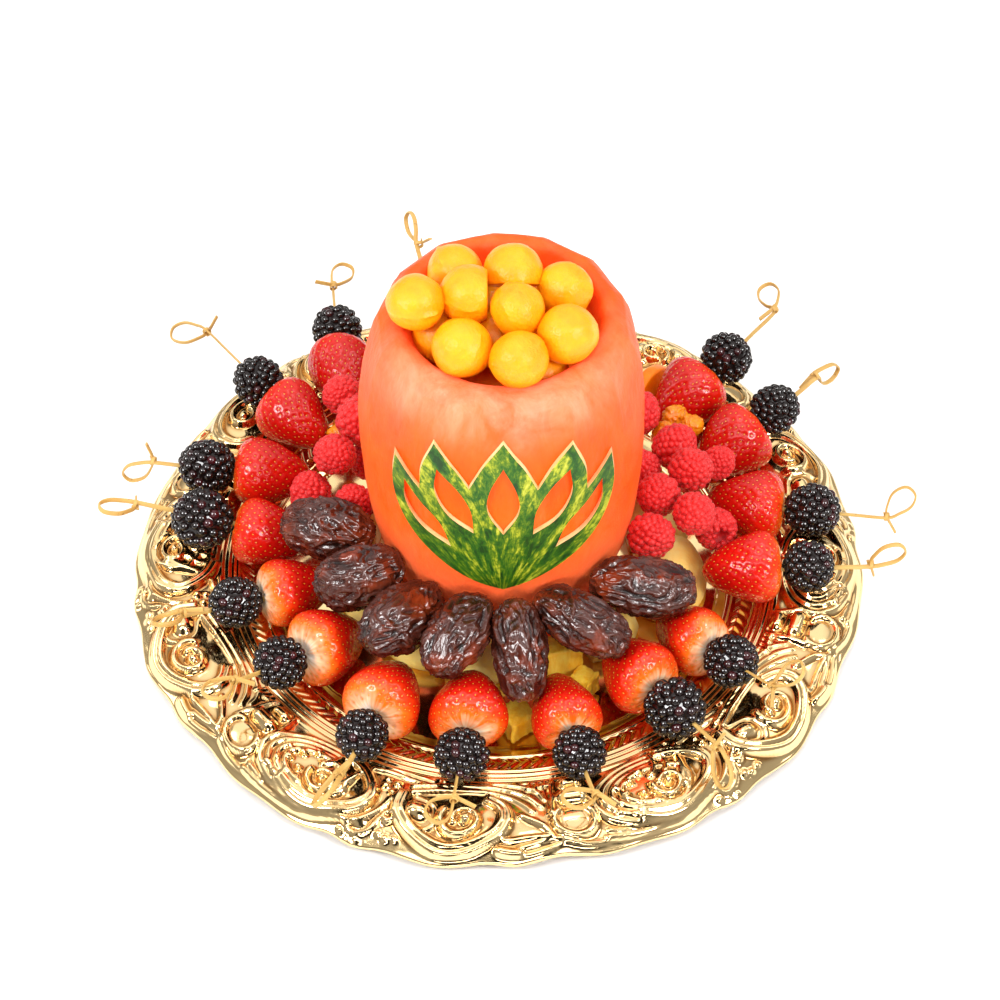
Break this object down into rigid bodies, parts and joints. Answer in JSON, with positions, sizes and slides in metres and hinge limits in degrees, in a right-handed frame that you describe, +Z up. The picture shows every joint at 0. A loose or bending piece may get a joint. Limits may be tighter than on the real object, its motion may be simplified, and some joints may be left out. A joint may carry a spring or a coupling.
{
  "type": "fruit platter",
  "caption": "Round ornate gold serving tray with a carved watermelon bowl of melon balls, dates, raspberries, melon slices and a ring of strawberry and dark berry picks",
  "frame": {"origin": "centre of the tray's flat underside, on the surface that the platter stands on", "axes": "+Z up; -Y towards the carved side of the watermelon, which faces the viewer; +X to the viewer's right"},
  "size_m": [0.3961, 0.379, 0.1971],
  "materials": {
    "gold": "polished",
    "watermelon_flesh": "moist satin",
    "melon_ball": "moist satin",
    "pick_fruit": "glossy",
    "date_skin": "satin",
    "raspberry": "velvety",
    "melon_orange": "moist satin",
    "melon_pale": "moist satin",
    "pineapple": "moist satin",
    "apricot": "satin",
    "golden_raisin": "glossy"
  },
  "bodies": {
    "root": {"tray": "gold", "watermelon": "watermelon_flesh", "melon_balls": "melon_ball", "fruit_pick_01": "pick_fruit", "fruit_pick_02": "pick_fruit", "fruit_pick_03": "pick_fruit", "fruit_pick_04": "pick_fruit", "fruit_pick_05": "pick_fruit", "fruit_pick_06": "pick_fruit", "fruit_pick_07": "pick_fruit", "fruit_pick_08": "pick_fruit", "fruit_pick_09": "pick_fruit", "fruit_pick_10": "pick_fruit", "fruit_pick_11": "pick_fruit", "fruit_pick_12": "pick_fruit", "fruit_pick_13": "pick_fruit", "fruit_pick_14": "pick_fruit", "fruit_pick_15": "pick_fruit", "fruit_pick_16": "pick_fruit", "fruit_pick_17": "pick_fruit", "date_1": "date_skin", "date_2": "date_skin", "date_3": "date_skin", "date_4": "date_skin", "date_5": "date_skin", "date_6": "date_skin", "date_7": "date_skin", "raspberry_01": "raspberry", "raspberry_02": "raspberry", "raspberry_03": "raspberry", "raspberry_04": "raspberry", "raspberry_05": "raspberry", "raspberry_06": "raspberry", "raspberry_07": "raspberry", "raspberry_08": "raspberry", "raspberry_09": "raspberry", "raspberry_10": "raspberry", "raspberry_11": "raspberry", "raspberry_12": "raspberry", "raspberry_13": "raspberry", "raspberry_14": "raspberry", "raspberry_15": "raspberry", "melon_slice_1": "melon_orange", "melon_slice_2": "melon_orange", "melon_slice_3": "melon_pale", "melon_slice_4": "melon_orange", "melon_slice_5": "melon_orange", "melon_slice_6": "melon_pale", "melon_slice_7": "melon_pale", "melon_slice_8": "melon_pale", "melon_slice_9": "melon_pale", "pineapple_1": "pineapple", "pineapple_2": "pineapple", "pineapple_3": "pineapple", "apricot_slice": "apricot", "golden_raisins_1": "golden_raisin", "golden_raisins_2": "golden_raisin"}
  },
  "joints": []
}
